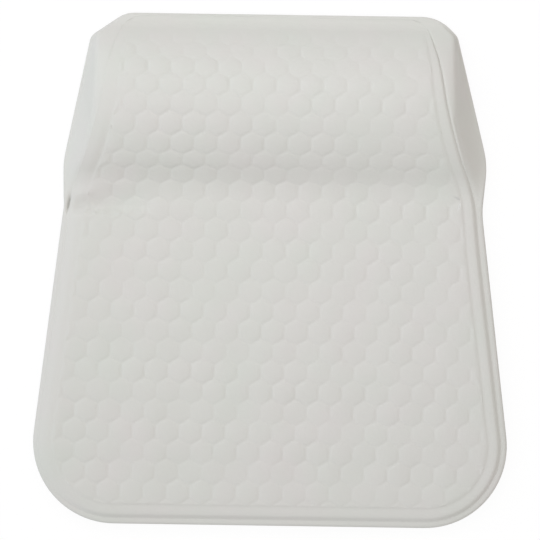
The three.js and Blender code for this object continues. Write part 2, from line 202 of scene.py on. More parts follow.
SHOULDER_BACK = 14  # from the back edge, where it ends
SHOULDER_ROUND = 0.09  # of the way from the step to the outline
SHOULDER_ROUND_SHARE = 0.2  # of a narrow skin, the most that the round takes
SHOULDER_ROOM = (1.2, 1.5)  # rounds kept free before and behind the shoulder
SHOULDER_RINGS = ((-1, 0.03), (0, 0.08), (1, 0.21))  # rounds past the shoulder, and share of the height lost
# Rounded edge: inset from the outline, and height over the rim
EDGE_RINGS = (
    (1.6, -0.05), (1.0, -0.26), (0.45, -0.72), (0.1, -1.4), (0.0, -2.1),
    (0.3, -3.2), (0.9, -4.4), (1.3, -5.1), (2.0, -5.5), (4.0, -5.5),
)
WELD_WIDTH = 7  # reach of the lip that is welded into the backing sheet
WELD_LEVEL = 1  # of the weld over the bottom of that sheet

# Backing sheet
BASE_INSET = 2.2  # from the outline
BASE_FOOT_BEVEL = 62.7
BASE_FOOT_STEPS = 16
BASE_BACK_BEVEL = 22
BASE_BACK_STEPS = 8
BEND_CUTS = range(-18, 19, 3)  # cross lines of the backing sheet, from the crease

# Foam under the face: half widths at lengths along the pattern
FOAM_FROM_FOOT = 12
FOAM_FROM_CREASE = 16
FOAM_FROM_BACK = 13
FOAM_ALONG = (STEP_FOOT + FOAM_FROM_FOOT, STEP_FOOT + 24, STEP_FOOT + 50, 205, 372)
FOAM_HALF = (128, 142, 152, 133, 93)
FOAM_CLEARANCE = 2.2
FOAM_EDGE_FALL = 0.8
FOAM_LEAST = 0.5  # thickness where it runs out
FOAM_ROWS = 24
FOAM_COLUMNS = 25

# Suction cups on a square grid, and the profile of one, from its hollow to its plug: radius and height
CUP_PITCH = 42
CUP_SIDES = 32
CUP_PROFILE = (
    (1.0, 2.75), (4.0, 2.6), (7.5, 1.9), (10.2, 0.8), (11.6, 0.0), (12.7, 0.0), (13.0, 0.35), (12.8, 0.8),
    (11.0, 1.9), (8.4, 3.3), (6.2, 4.5), (5.2, 5.3), (5.0, 5.9), (5.0, 6.95), (3.5, 6.96), (3.5, 8.8),
    (3.2, 9.0),
)

# Soft irregularities of the filled sheet: slow waves, and dimples over the cups
SETTLE_WAVE = 0.35
SETTLE_LENGTHS = (23, 31, 27, 60)
SETTLE_SHARE = (1.0, 0.5, 0.15, 0.1)  # at the foot, a little before the crease, at the crease and at the back
SETTLE_EASE = 60
SETTLE_HELD = BAND_WIDTH / 2  # the step holds the sheet level this far, and then lets go
SETTLE_FREE = 3 * BAND_WIDTH
DIMPLE_DEPTH = 0.7

# Left end of the crease: a narrow buckle in the flange, and a soft valley that runs out of it across the mat
PINCH_X = -142.4
PINCH_OFFSET = -5.2  # from the crease
PINCH_DEPTH = 4.4
PINCH_PRESS = 1.3  # how much deeper it would be if the filling let it
PINCH_WIDTH = 1.2
PINCH_LENGTH = 5
PINCH_LEAN = 0.2
PINCH_CLOSING = 0.4  # share by which its sides come together
PINCH_CLOSING_WIDTH = 2
PINCH_NOTCH = 6  # by which the backing sheet stands back from the buckle
PINCH_NOTCH_REACH = 7
VALLEY_BOTTOM = -7.6  # from the crease
VALLEY_FRONT = 3  # width of its steep side
VALLEY_DEPTH = 4.2
VALLEY_BESIDE = (1, 7, 10, 22, 34, 62)  # from the buckle
VALLEY_SHARE = (0, 1, 1, 1, 1, 0)
VALLEY_TOP = (2, 2, 2, 9, 9, 9)  # from the crease: where its gentle side begins

crest_y = CREASE_Y + CREST_OFFSET
crest_rise = CREST_TOP - FACE_TOP


def corner_arc(before, tip, after, radius, steps):
    """Arc that rounds the corner at tip between two straight lines."""
    before, tip, after = (np.array(point, float) for point in (before, tip, after))
    back = (before - tip) / np.linalg.norm(before - tip)
    on = (after - tip) / np.linalg.norm(after - tip)
    half = math.acos(np.clip(back @ on, -1, 1)) / 2
    bisector = (back + on) / np.linalg.norm(back + on)
    centre = tip + bisector * radius / math.sin(half)
    start = tip + back * radius / math.tan(half) - centre
    end = tip + on * radius / math.tan(half) - centre
    sweep = math.atan2(start[0] * end[1] - start[1] * end[0], start @ end)
    angles = np.linspace(0, sweep, steps + 1)
    return np.stack([
        centre[0] + start[0] * np.cos(angles) - start[1] * np.sin(angles),
        centre[1] + start[0] * np.sin(angles) + start[1] * np.cos(angles),
    ], 1)


def lengths_along(line):
    """Length from the start of a line to each of its points."""
    step = np.diff(line, axis=0)
    return np.concatenate([[0], np.cumsum(np.hypot(step[:, 0], step[:, 1]))])


def spaced(points, steps):
    """The same line with evenly spaced points."""
    points = np.asarray(points, float)
    length = lengths_along(points)
    places = np.linspace(0, length[-1], steps + 1)
    return np.stack([np.interp(places, length, points[:, 0]), np.interp(places, length, points[:, 1])], 1)


def joined(sections):
    """One line of sections that each begin where the last one ends."""
    return np.concatenate([section[:-1] for section in sections] + [sections[-1][-1:]])


def profile():
    """Stations of the face from the foot edge over the crest: length along, place and height, and normal."""
    slope = 2 * math.atan(crest_rise / CREST_OFFSET)
    crest_radius = CREST_OFFSET / math.sin(slope) - CREASE_RADIUS
    turn = np.linspace(0, slope, PROFILE_STEPS)
    hollow = np.stack([
        CREASE_Y + CREASE_RADIUS * np.sin(turn), FACE_TOP + CREASE_RADIUS * (1 - np.cos(turn)),
    ], 1)
    turn = turn[::-1]
    crown = np.stack([
        crest_y - crest_radius * np.sin(turn), CREST_TOP - crest_radius * (1 - np.cos(turn)),
    ], 1)
    foot = (BACK_FOOT_Y - BACK_FOOT_SETBACK, RIM_TOP + BACK_STEP)
    above = (foot[0] - BACK_FOOT_EASE[0], foot[1] + BACK_FOOT_EASE[1])
    a, b, c, d = np.array([(crest_y, CREST_TOP), (crest_y + CREST_EASE_BACK, CREST_TOP), above, foot])
    t = np.linspace(0, 1, 2 * PROFILE_STEPS)[:, None]
    back = (1 - t) ** 3 * a + 3 * (1 - t) ** 2 * t * b + 3 * (1 - t) * t ** 2 * c + t ** 3 * d
    round_foot = corner_arc(above, foot, (BACK_Y, foot[1]), BACK_FOOT_RADIUS, BACK_FOOT_STEPS)
    back = back[back[:, 1] > round_foot[0, 1] + BACK_ROUND_GAP]
    flat = np.array([(FOOT_Y, FACE_TOP), (CREASE_Y - FLAT_END, FACE_TOP)])
    edge = np.array([BACK_Y - BACK_EDGE, foot[1]])
    line = np.concatenate([flat, hollow, crown[1:], back[1:], round_foot, [edge, edge + (RUN_OUT, 0)]])
    along = lengths_along(line)
    tangent = np.gradient(line, along, axis=0)
    tangent /= np.linalg.norm(tangent, axis=1)[:, None]
    return along, line, np.stack([-tangent[:, 1], tangent[:, 0]], 1)


ALONG, PROFILE, NORMALS = profile()
BACK_ALONG = ALONG[-2]


def eased(at, places, values):
    """Smooth curve through the values at some places."""
    at, places, values = (np.asarray(numbers, float) for numbers in (at, places, values))
    slope = np.gradient(values, places)
    i = np.clip(np.searchsorted(places, at) - 1, 0, len(places) - 2)
    run = places[i + 1] - places[i]
    t = np.clip((at - places[i]) / run, 0, 1)
    start = (1 - t) ** 2 * ((1 + 2 * t) * values[i] + t * run * slope[i])
    return start + t ** 2 * ((3 - 2 * t) * values[i + 1] + (t - 1) * run * slope[i + 1])


def step_half(along, inset=0, band=RIGHT_BAND):
    """Half width of the face at a length along its pattern, moved in by an inset."""
    return eased(along, SIDE_ALONG, SIDE_HALF) - inset / BAND_WIDTH * eased(along, SIDE_ALONG, band)


def step_share(along):
    """How high the step at the border stands: whole along the sides, almost nothing along the back edge."""
    fade = np.clip((BACK_ALONG - STEP_FADE[1] - along) / (STEP_FADE[0] - STEP_FADE[1]), 0, 1)
    least = BACK_STEP / RIM_DROP
    return least + (1 - least) * fade * fade * (3 - 2 * fade)


def crossed_waves(x, along, lengths):
    """Two slanted waves, one across the other."""
    first_x, first_along, second_along, second_x = lengths
    return np.sin(x / first_x + along / first_along) * np.sin(along / second_along - x / second_x)


def relief(x, along):
    """How deep the grooves are pressed at a place."""
    uneven = 1
    for height, lengths in RELIEF_WAVES:
        uneven = uneven + height * crossed_waves(x, along, lengths)
    lean = np.interp(along, (CREASE_ALONG, CREASE_ALONG + RELIEF_LEAN_FADE), RELIEF_LEAN)
    return np.interp(along, RELIEF_ALONG, RELIEF_SHARE) * uneven * (1 - lean * x / RELIEF_LEAN_REACH)


def settle(x, along):
    """Slow waves of the filled sheet, and shallow dimples where the suction cups hold it down."""
    dimple_x = 0.5 + 0.5 * np.cos(2 * np.pi * (x - CUP_PITCH / 2) / CUP_PITCH)
    dimple_y = 0.5 + 0.5 * np.cos(2 * np.pi * (along - CREASE_ALONG + CUP_PITCH / 2) / CUP_PITCH)
    share = np.interp(along, [0, CREASE_ALONG - SETTLE_EASE, CREASE_ALONG, BACK_ALONG], SETTLE_SHARE)
    wave = SETTLE_WAVE * crossed_waves(x, along, SETTLE_LENGTHS)
    edge = np.minimum(step_half(along) - np.abs(x), np.minimum(along - STEP_FOOT, BACK_ALONG - along))
    free = np.clip((edge - SETTLE_HELD) / SETTLE_FREE, 0, 1)
    return share * free * (wave - DIMPLE_DEPTH * dimple_x * dimple_y)


def pinch(points):
    """The buckle and the valley, pressed into points of the pillow."""
    x, y, z = points.T
    offset = y - CREASE_Y
    beside = x - PINCH_X - PINCH_LEAN * (offset - PINCH_OFFSET)
    lengthwise = ((offset - PINCH_OFFSET) / PINCH_LENGTH) ** 2
    closing = np.exp(-np.abs(beside) / PINCH_CLOSING_WIDTH - lengthwise)
    buckle = np.exp(-np.abs(beside) / PINCH_WIDTH - lengthwise)
    from_bottom = offset - VALLEY_BOTTOM
    back_side = from_bottom / (np.interp(beside, VALLEY_BESIDE, VALLEY_TOP) - VALLEY_BOTTOM)
    valley = np.clip(1 - np.maximum(back_side, -from_bottom / VALLEY_FRONT), 0, 1)
    valley *= np.interp(beside, VALLEY_BESIDE, VALLEY_SHARE)
    dent = np.minimum(PINCH_PRESS * PINCH_DEPTH * buckle + VALLEY_DEPTH * valley, PINCH_DEPTH)
    points[:, 2] -= dent * np.clip((z - BASE_BOTTOM) / (RIM_TOP - BASE_BOTTOM), 0, 1)
    points[:, 0] -= PINCH_CLOSING * beside * closing
    return points


def on_pillow(flat):
    """Points of the flat pattern (across, along, height) laid over the mat and the headrest."""
    across, along, height = np.asarray(flat, float).T
    y = np.interp(along, ALONG, PROFILE[:, 0])
    z = np.interp(along, ALONG, PROFILE[:, 1])
    normal_y = np.interp(along, ALONG, NORMALS[:, 0])
    normal_z = np.interp(along, ALONG, NORMALS[:, 1])
    rise = np.clip((z - FACE_TOP) / crest_rise, 0, 1)
    z = z - SIDE_DROP * rise * np.clip(np.abs(across) / step_half(along), 0, 1) ** 4
    lift = height + settle(across, along)
    return pinch(np.stack([across, y + lift * normal_y, z + lift * normal_z], 1))


def pattern_sections(inset, band=RIGHT_BAND):
    """Half of the face pattern, moved in by an inset, from the middle of the foot to that of the back."""
    foot_along, back_along = STEP_FOOT + inset, BACK_ALONG - inset * BACK_BAND_SHARE

    def on_side(along):
        return np.array([step_half(along, inset, band), along])

    foot_mid, back_mid = np.array([0, foot_along]), np.array([0, back_along])
    foot_radius = STEP_FOOT_RADIUS - inset
    foot_arc = corner_arc(foot_mid, on_side(foot_along), on_side(SIDE_ALONG[1]), foot_radius, FOOT_STEPS)
    back_radius = max(STEP_BACK_RADIUS - inset, STEP_LEAST_RADIUS)
    before_back = on_side(back_along - STEP_BACK_RUN)
    back_arc = corner_arc(before_back, on_side(back_along), back_mid, back_radius, BACK_STEPS)
    side = [on_side(along) for along in np.linspace(foot_arc[-1, 1], back_arc[0, 1], SIDE_SAMPLES)[1:-1]]
    return [
        spaced([foot_mid, foot_arc[0]], MIDDLE_STEPS), foot_arc,
        spaced([foot_arc[-1], *side, back_arc[0]], SIDE_STEPS),
        back_arc, spaced([back_arc[-1], back_mid], MIDDLE_STEPS),
    ]


def closed_pattern(inset):
    """Whole outline of the face pattern, counter-clockwise."""
    right = joined(pattern_sections(inset))
    left = joined(pattern_sections(inset, LEFT_BAND))
    return np.concatenate([right, left[-2:0:-1] * (-1, 1)])


def depth_inside(outline, points):
    """How far points lie inside an outline; negative outside it."""
    edge = np.roll(outline, -1, axis=0) - outline
    reach = points[:, None, :] - outline[None]
    share = np.clip((reach * edge).sum(2) / (edge * edge).sum(1), 0, 1)
    distance = np.linalg.norm(reach - share[..., None] * edge, axis=2).min(1)
    above = reach[..., 1] >= 0
    level = above != np.roll(above, -1, axis=1)
    run = np.where(edge[:, 1] == 0, 1, edge[:, 1])
    to_right = reach[..., 0] < reach[..., 1] * edge[:, 0] / run
    inside = (level & to_right).sum(1) % 2 == 1
    return np.where(inside, distance, -distance)


def place_on(outline, point):
    """Edge of an outline nearest to a point, and the share along that edge."""
    edge = np.roll(outline, -1, axis=0) - outline
    reach = point - outline
    share = np.clip((reach * edge).sum(1) / (edge * edge).sum(1), 0, 1)
    nearest = np.linalg.norm(reach - share[:, None] * edge, axis=1).argmin()
    return nearest, share[nearest]


def at_place(outline, place):
    """Point at a place of an outline."""
    index, share = place
    return outline[index] + share * (outline[(index + 1) % len(outline)] - outline[index])


def left_share(outline, place):
    """How far a place of the outline counts as its left side, from where it faces."""
    index = place[0]
    run = outline[(index + 1) % len(outline)] - outline[index]
    return np.interp(-run[1] / np.linalg.norm(run), LEFT_FACING, (0, 1))


def hexagon():
    """Ring of a pad about its middle: each corner, and two points near it on its sides."""
    ring = []
    for side in range(6):
        angle = math.radians(30 + 60 * side)
        start = HEX_SIDE * np.array([math.cos(angle), math.sin(angle)])
        end = HEX_SIDE * np.array([math.cos(angle + math.pi / 3), math.sin(angle + math.pi / 3)])
        ring += [start, start + CORNER_SHARE * (end - start), end - CORNER_SHARE * (end - start)]
    return np.array(ring), np.arange(len(ring)) % 3 == 0


def clipped(ring, is_corner, field):
    """Part of a pad's ring inside the field, with its cut side laid along the field's edge."""
    inside = depth_inside(field, ring) > 0
    points, corners = [], []
    leaving = None
    for i in range(len(ring)):
        following = (i + 1) % len(ring)
        if inside[i]:
            points.append(ring[i])
            corners.append(is_corner[i])
        if inside[i] == inside[following]:
            continue
        near, far = (ring[i], ring[following]) if inside[i] else (ring[following], ring[i])
        for _ in range(CUT_HALVINGS):
            middle = (near + far) / 2
            if depth_inside(field, middle[None])[0] > 0:
                near = middle
            else:
                far = middle
        if inside[i]:
            leaving = len(points)
        points.append(near)
        corners.append(False)
    start, end = points[leaving], points[(leaving + 1) % len(points)]
    cut = [at_place(field, place_on(field, start + share * (end - start))) for share in CUT_SHARES]
    points[leaving + 1:leaving + 1] = cut
    corners[leaving + 1:leaving + 1] = [False] * len(cut)
    return np.array(points), np.array(corners)


def centre_of(ring):
    """Centre of the area inside a ring."""
    following = np.roll(ring, -1, axis=0)
    cross = ring[:, 0] * following[:, 1] - following[:, 0] * ring[:, 1]
    return ((ring + following) * cross[:, None]).sum(0) / (3 * cross.sum())


def mesh_ring(mesh, ring, height):
    """New points of a mesh along a ring at one height."""
    return [mesh.verts.new((*point, height)) for point in ring]


def add_pad(mesh, ring, is_corner):
    """One raised pad: its groove, its rounded edge and its crowned middle."""
    centre = centre_of(ring)
    reach = depth_inside(ring, centre[None])[0]
    fullness = min(1, reach / PAD_LEAST)
    depth = GROOVE_DEPTH * fullness
    rings = [mesh_ring(mesh, ring, 0)]
    for inset, rise in PAD_RINGS:
        share = (1 - fullness * inset / reach) * np.where(is_corner, 1 - CORNER_PULL, 1)
        rings.append(mesh_ring(mesh, centre + share[:, None] * (ring - centre), depth * rise))
    middle = mesh.verts.new((*centre, depth * PAD_CROWN))
    count = len(ring)
    for outer, inner in zip(rings, rings[1:]):
        for i in range(count):
            mesh.faces.new((outer[i], outer[(i + 1) % count], inner[(i + 1) % count], inner[i]))
    for i in range(count):
        mesh.faces.new((rings[-1][i], rings[-1][(i + 1) % count], middle))


def add_field(mesh, field):
    """Rows of pads over the field, whole or cut along its edge, with their grooves pressed to depth."""
    ring, is_corner = hexagon()
    first_along = HEX_FIRST_Y - FOOT_Y
    first_row = math.floor(-first_along / HEX_ROW)
    end_row = math.ceil((PATTERN_ALONG[-1] - first_along) / HEX_ROW)
    columns = math.ceil(SIDE_HALF[0] / HEX_PITCH) + 2
    for row in range(first_row, end_row):
        for column in range(-columns, columns):
            middle = (HEX_FIRST_X + HEX_PITCH * (column + row % 2 / 2), first_along + HEX_ROW * row)
            pad = ring + middle
            pad[:, 1] = np.interp(pad[:, 1], PATTERN_ALONG, SHEET_ALONG)
            inside = depth_inside(field, pad) > 0
            if inside.all():
                add_pad(mesh, pad, is_corner)
            elif inside.any():
                add_pad(mesh, *clipped(pad, is_corner, field))
    bmesh.ops.remove_doubles(mesh, verts=mesh.verts, dist=SAME_POINT)
    for vert in mesh.verts:
        share = relief(vert.co.x, vert.co.y)
        vert.co.z = (PAD_LEVEL + share * (vert.co.z - GROOVE_DEPTH)) * step_share(vert.co.y)


def border_loop(mesh):
    """The free edge of the embossed field, as one ordered loop of points, counter-clockwise."""
    following = {}
    for edge in mesh.edges:
        if edge.is_boundary:
            loop = edge.link_loops[0]
            following[loop.vert] = loop.link_loop_next.vert
    first = next(iter(following))
    ordered = [first]
    while following[ordered[-1]] is not first:
        ordered.append(following[ordered[-1]])
    return ordered


def add_border(mesh, field):
    """Rings round the field: down into the engraved line, over the smooth band and down its step."""
    gaps = [edge for edge in mesh.edges if edge.is_boundary and edge.calc_length() > LOOP_STEP]
    bmesh.ops.subdivide_edges(mesh, edges=gaps, cuts=LOOP_CUTS)
    loop = border_loop(mesh)
    places = [place_on(field, np.array(vert.co[:2])) for vert in loop]
    for vert, place in zip(loop, places):
        vert.co = (*at_place(field, place), FIELD_EDGE * step_share(vert.co.y))
    lefts = [left_share(field, place) for place in places]
    for inset, right_mat, right_headrest, left_mat, left_front, left_back in BORDER_RINGS:
        outline = closed_pattern(inset)
        outer = mesh_ring(mesh, [at_place(outline, place) for place in places], 0)
        for vert, left in zip(outer, lefts):
            right_height = np.interp(vert.co.y, RIGHT_PARTS[:2], [right_mat, right_headrest])
            left_height = np.interp(vert.co.y, LEFT_PARTS, [left_mat, left_front, left_front, left_back])
            share = step_share(vert.co.y)
            vert.co.z = (right_height + left * (left_height - right_height)) * share
            if inset == BORDER_RINGS[-1][0]:
                vert.co.z -= SKIRT * (1 - share)
        for i in range(len(loop)):
            mesh.faces.new((loop[i - 1], outer[i - 1], outer[i], loop[i]))
        loop = outer


def deselect_all():
    """Nothing stays selected for the next operator."""
    for other in bpy.context.selected_objects:
        other.select_set(False)


def smooth(piece):
    """Shade a piece without facets."""
    piece.data.polygons.foreach_set("use_smooth", [True] * len(piece.data.polygons))


def finish_mesh(mesh, name, points):
    """A bmesh becomes a smooth object in metres, with its points laid in place."""
    for vert, point in zip(mesh.verts, points):
        vert.co = point * MM
    data = bpy.data.meshes.new(name)
    mesh.to_mesh(data)
    mesh.free()
    piece = bpy.data.objects.new(name, data)
    bpy.context.scene.collection.objects.link(piece)
    smooth(piece)
    return piece


def thicken(piece, thickness):
    """Give a sheet its thickness, inwards from the surface that was modelled."""
    deselect_all()
    bpy.context.view_layer.objects.active = piece
    piece.select_set(True)
    wall = piece.modifiers.new("wall", "SOLIDIFY")
    wall.thickness = thickness * MM
    wall.offset = -1
    bpy.ops.object.modifier_apply(modifier=wall.name)


def face_cover():
    """The embossed face: hexagon pads, engraved line, smooth band and the step at its edge."""
    field = closed_pattern(BAND_WIDTH)
    mesh = bmesh.new()
    add_field(mesh, field)
    add_border(mesh, field)
    flat = np.array([vert.co for vert in mesh.verts])
    cover = finish_mesh(mesh, "face_cover", on_pillow(flat))
    thicken(cover, COVER_THICKNESS)
    return cover


def skin_columns(side):
    """One half of the flange and gusset: points of the step on the flat pattern, and of the outline."""
    foot_tip, waist = (side.foot_half, FOOT_Y), (side.waist_half, CREASE_Y + WAIST_OFFSET)
    bulge, back_tip = (side.bulge_half, CREASE_Y + side.bulge_offset), (side.back_half, BACK_Y)
    foot_arc = corner_arc((0, FOOT_Y), foot_tip, waist, side.foot_radius, FOOT_STEPS)
    waist_arc = corner_arc(foot_tip, waist, bulge, WAIST_RADIUS, WAIST_STEPS)
    bulge_arc = corner_arc(waist, bulge, back_tip, BULGE_RADIUS, BULGE_STEPS)
    kink_share = (side.kink_y - bulge[1]) / (BACK_Y - bulge[1])
    kink = np.array(bulge) + kink_share * np.subtract(back_tip, bulge)
    cut_tip = (kink[0] - side.cut_reach * (BACK_Y - side.kink_y), BACK_Y)
    kink_arc = corner_arc(bulge, kink, cut_tip, KINK_RADIUS, KINK_STEPS)
    cut_arc = corner_arc(kink, cut_tip, (0, BACK_Y), side.back_radius, CUT_STEPS)
    edge = np.concatenate([foot_arc[-1:], waist_arc, bulge_arc, kink_arc])

    sections = pattern_sections(0)
    inner_y = np.interp(sections[2][:, 1], ALONG, PROFILE[:, 0])
    inner_y[0] = edge[0, 1]
    stretch = (edge[-1, 1] - CREASE_Y) / (inner_y[-1] - CREASE_Y)
    outer_y = np.where(inner_y < CREASE_Y, inner_y, CREASE_Y + stretch * (inner_y - CREASE_Y))
    outer_side = np.stack([np.interp(outer_y, edge[:, 1], edge[:, 0]), outer_y], 1)
    outer = joined([
        spaced([(0, FOOT_Y), foot_arc[0]], MIDDLE_STEPS), foot_arc, outer_side,
        spaced(np.concatenate([edge[-1:], cut_arc]), BACK_STEPS),
        spaced([cut_arc[-1], (0, BACK_Y)], MIDDLE_STEPS),
    ])
    return joined(sections), outer


def weld_ring(outer):
    """Inner edge of the lip under the flange, square to the outline and inside the backing sheet."""
    travel = np.gradient(outer, axis=0)
    inward = np.stack([-travel[:, 1], travel[:, 0]], 1) / np.linalg.norm(travel, axis=1)[:, None]
    return np.column_stack([outer + WELD_WIDTH * inward, np.full(len(outer), BASE_BOTTOM + WELD_LEVEL)])


def skin_half(side, parts, headrest_drops, tilt):
    """Rings of one half of the skin, from under the face over the gusset or flange and round its edge."""
    inner, outer = skin_columns(side)
    along = inner[:, 1]
    front_drop, back_drop = headrest_drops
    drop = np.interp(along, parts, [RIM_DROP, front_drop, front_drop, back_drop]) * step_share(along)
    drop = drop / np.interp(along, ALONG, NORMALS[:, 1])
    step = np.stack([inner[:, 0], np.interp(along, ALONG, PROFILE[:, 0])], 1)
    width = np.linalg.norm(outer - step, axis=1)
    outward = (outer - step) / width[:, None]
    tilted = tilt * np.clip(outward[:, 0], 0, 1) ** 2

    def across(share, fall):
        ring = step + share[:, None] * (outer - step)
        top = np.interp(ring[:, 1], PROFILE[:, 0], PROFILE[:, 1])
        rise = np.clip((top - FACE_TOP) / crest_rise, 0, 1)
        wall = np.maximum(top - SIDE_DROP * rise - drop - RIM_TOP, 0)
        return np.column_stack([ring, RIM_TOP + (1 - fall) * wall - np.maximum(share, 0) * tilted])

    first, last = SKIN_START / width, 1 - EDGE_RINGS[0][0] / width
    top_end = np.minimum(SKIN_TOP / width, first + SKIN_TOP_SHARE * (last - first))
    wall_end = np.maximum(1 - WALL_END / width, first + WALL_END_SHARE * (last - first))
    rounding = np.minimum(SHOULDER_ROUND, SHOULDER_ROUND_SHARE * (wall_end - top_end))
    turn = np.interp(step[:, 1], SHOULDER_Y, SHOULDER_HALF)
    shoulder = (turn - step[:, 0]) / np.maximum(outer[:, 0] - step[:, 0], 1)
    shoulder = np.where(along > BACK_ALONG - SHOULDER_BACK, 1, shoulder)
    shoulder = np.where(step[:, 1] < CREASE_Y + SHOULDER_FRONT, 0, shoulder)
    room_before, room_behind = SHOULDER_ROOM
    shoulder = np.clip(shoulder, top_end + room_before * rounding, wall_end - room_behind * rounding)

    hidden = across(-SKIN_TUCK / width, 0)
    hidden[:, 2] -= SKIN_TUCK
    rings = [hidden, across(first, 0), across(top_end, SKIN_TOP_FALL)]
    for rounds, fall in SHOULDER_RINGS:
        rings.append(across(shoulder + rounds * rounding, fall))
    start, fallen = shoulder + rounding, SHOULDER_RINGS[-1][1]
    for share, belly in WALL_RINGS:
        rings.append(across(start + share * (wall_end - start), fallen + (share - belly) * (1 - fallen)))
    for inset, level in EDGE_RINGS:
        rings.append(np.column_stack([outer - inset * outward, RIM_TOP + level - tilted]))
    rings.append(weld_ring(outer))
    return np.stack(rings, 1)


def border_skin():
    """Flange and side gussets: one sheet from under the face's step to the outline and round its edge."""
    right = skin_half(RIGHT, RIGHT_PARTS, (STEP_DROP, STEP_DROP), 0)
    left = skin_half(LEFT, LEFT_PARTS, LEFT_DROPS, LEFT_TILT)[-2:0:-1] * (-1, 1, 1)
    points = np.concatenate([right, left])
    count, depth = points.shape[:2]
    points = pinch(points.reshape(-1, 3).copy())
    mesh = bmesh.new()
    verts = [mesh.verts.new(point) for point in points]
    for i in range(count):
        following = (i + 1) % count
        for k in range(depth - 1):
            mesh.faces.new((
                verts[i * depth + k], verts[i * depth + k + 1],
                verts[following * depth + k + 1], verts[following * depth + k],
            ))
    skin = finish_mesh(mesh, "border_skin", points)
    thicken(skin, SKIN_THICKNESS)
    return skin


def pick(piece, test):
    """Edit mode selection of the points whose place, in millimetres, passes a test."""
    mesh = bmesh.from_edit_mesh(piece.data)
    bpy.ops.mesh.select_all(action="DESELECT")
    bpy.ops.mesh.select_mode(type="VERT")
    for vert in mesh.verts:
        vert.select_set(bool(test(vert.co / MM)))
    mesh.select_flush_mode()
    bmesh.update_edit_mesh(piece.data)


def base_sheet():
    """Backing sheet: a plane drawn out to the outline, its corners rounded, then given its thickness."""
    foot = (FOOT_Y + BASE_INSET, LEFT.foot_half - BASE_INSET)
    waist = (CREASE_Y + WAIST_OFFSET, RIGHT.waist_half - BASE_INSET)
    bulge = (CREASE_Y + LEFT.bulge_offset, LEFT.bulge_half - BASE_INSET)
    back = (BACK_Y - BASE_INSET, RIGHT.back_half - BASE_INSET)
    deselect_all()
    bpy.ops.mesh.primitive_plane_add(size=2 * MM, location=(0, 0, 0))
    sheet = bpy.context.object
    sheet.name = "base_sheet"
    bpy.ops.object.mode_set(mode="EDIT")
    # Each cross edge of the sheet, by its place along and half width, and where it is moved or drawn out to
    for start, end, is_new in (
        ((-1, 1), foot, False), ((1, 1), waist, False), (waist, bulge, True), (bulge, back, True),
    ):
        pick(sheet, lambda point: abs(point.y - start[0]) < SAME_POINT)
        if is_new:
            bpy.ops.mesh.extrude_edges_move()
        bpy.ops.transform.translate(value=(0, (end[0] - start[0]) * MM, 0))
        bpy.ops.transform.resize(value=(end[1] / start[1], 1, 1))
    pick(sheet, lambda point: abs(point.y - foot[0]) < SAME_POINT)
    bpy.ops.mesh.bevel(offset=BASE_FOOT_BEVEL * MM, affect="VERTICES", segments=BASE_FOOT_STEPS)
    pick(sheet, lambda point: abs(point.y - back[0]) < SAME_POINT)
    bpy.ops.mesh.bevel(offset=BASE_BACK_BEVEL * MM, affect="VERTICES", segments=BASE_BACK_STEPS)
    for offset in BEND_CUTS:
        bpy.ops.mesh.select_all(action="SELECT")
        bpy.ops.mesh.bisect(plane_co=(0, (CREASE_Y + offset) * MM, 0), plane_no=(0, 1, 0))
    pinch_y = CREASE_Y + PINCH_OFFSET
    pick(sheet, lambda point: point.x < 0 and abs(point.y - pinch_y) < PINCH_NOTCH_REACH)
    bpy.ops.transform.translate(value=(PINCH_NOTCH * MM, 0, 0))
    bpy.ops.mesh.select_all(action="SELECT")
    bpy.ops.transform.translate(value=(0, 0, BASE_BOTTOM * MM))
    thickness = (BASE_TOP - BASE_BOTTOM) * MM
    bpy.ops.mesh.extrude_region_move(TRANSFORM_OT_translate={"value": (0, 0, thickness)})
    bpy.ops.mesh.select_all(action="SELECT")
    bpy.ops.mesh.normals_make_consistent(inside=False)
    bpy.ops.object.mode_set(mode="OBJECT")
    return sheet


def foam_block(name, start, end):
    """Soft filling under the face between two lengths along the pattern, rounded down at its edges."""
    shares = np.sin(np.linspace(-np.pi / 2, np.pi / 2, FOAM_COLUMNS))
    points = []
    for along in np.linspace(start, end, FOAM_ROWS):
        half = np.interp(along, FOAM_ALONG, FOAM_HALF)
        depth = FOAM_CLEARANCE + FOAM_EDGE_FALL * shares ** 8
        top = on_pillow(np.stack([shares * half, np.full(FOAM_COLUMNS, along), -depth], 1))
        top[:, 2] = np.maximum(top[:, 2], FOAM_BOTTOM + FOAM_LEAST)
        bottom = top[::-1].copy()
        bottom[:, 2] = FOAM_BOTTOM
        points.append(np.concatenate([top, bottom]))
    mesh = bmesh.new()
    verts = [[mesh.verts.new(point) for point in row] for row in points]
    for row, following in zip(verts, verts[1:]):
        for i in range(len(row)):
            mesh.faces.new((row[i - 1], row[i], following[i], following[i - 1]))
    mesh.faces.new(verts[0][::-1])
    mesh.faces.new(verts[-1])
    bmesh.ops.recalc_face_normals(mesh, faces=mesh.faces)
    return finish_mesh(mesh, name, np.concatenate(points))


